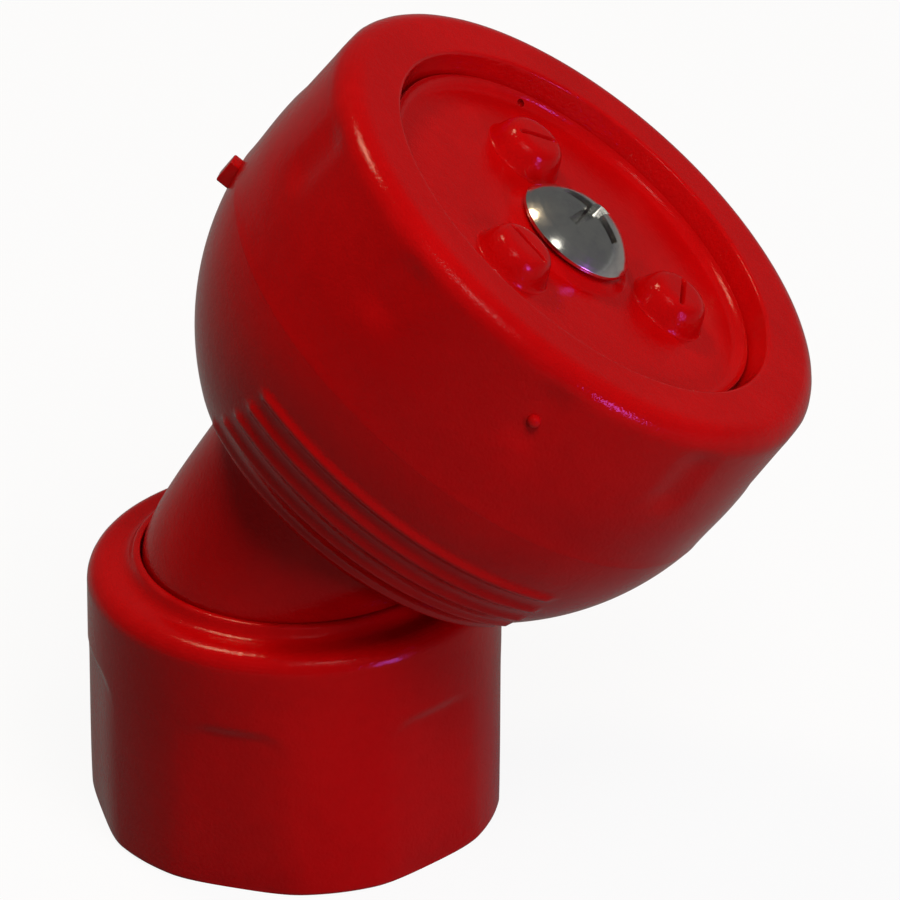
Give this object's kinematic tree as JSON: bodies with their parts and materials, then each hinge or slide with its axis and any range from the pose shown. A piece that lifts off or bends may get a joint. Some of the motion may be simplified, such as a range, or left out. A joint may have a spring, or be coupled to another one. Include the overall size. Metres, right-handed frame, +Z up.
{
  "type": "swivel spray head",
  "caption": "Adjustable water spray head: a ball-shaped cup on an angled neck, with a screw cap over a recessed outlet face, held to a pipe by a swivelling coupling nut.",
  "frame": {"origin": "centre of the coupling nut's open end", "axes": "+Z up the nut's axis, +X the side that the head leans to"},
  "size_m": [0.0572, 0.047, 0.0662],
  "materials": {
    "red_plastic": "glossy moulded plastic",
    "bright_steel": "polished",
    "black_rubber": "matt",
    "white_plastic": "satin",
    "yellow_brass": "turned"
  },
  "bodies": {
    "nut": {"collar_nut": "red_plastic", "pipe_gasket": "black_rubber"},
    "elbow": {"elbow_body": "red_plastic", "inlet_strainer": "white_plastic", "lock_ring": "bright_steel", "slip_washer": "white_plastic", "neck_o_ring": "black_rubber", "seat_ring": "yellow_brass", "spider_guide": "white_plastic", "plate_seal": "black_rubber"},
    "plate": {"nozzle_plate": "red_plastic", "jet_nozzle_1": "red_plastic", "jet_nozzle_2": "red_plastic", "jet_nozzle_3": "red_plastic", "screw_o_ring": "black_rubber", "centre_screw": "bright_steel", "screw_clip": "bright_steel", "throttle_plug": "white_plastic", "plug_pad": "black_rubber"},
    "cap": {"face_cap": "red_plastic"}
  },
  "joints": [
    {"name": "nut_swivel", "type": "hinge", "parent": "nut", "child": "elbow", "pos_m": [0, 0, 0], "axis": [0, 0, 1], "continuous": true},
    {"name": "plate_lift", "type": "slide", "parent": "elbow", "child": "plate", "axis": [0.599, 0, 0.8007], "range_m": [0, 0.003]},
    {"name": "cap_turn", "type": "hinge", "parent": "plate", "child": "cap", "pos_m": [0.01583, 0, 0.04353], "axis": [0.599, 0, 0.8007], "range_deg": [0, 360]}
  ],
  "couplings": [
    {"joint": "plate_lift", "follows": "cap_turn", "m_per_rad": 0.00047746}
  ]
}
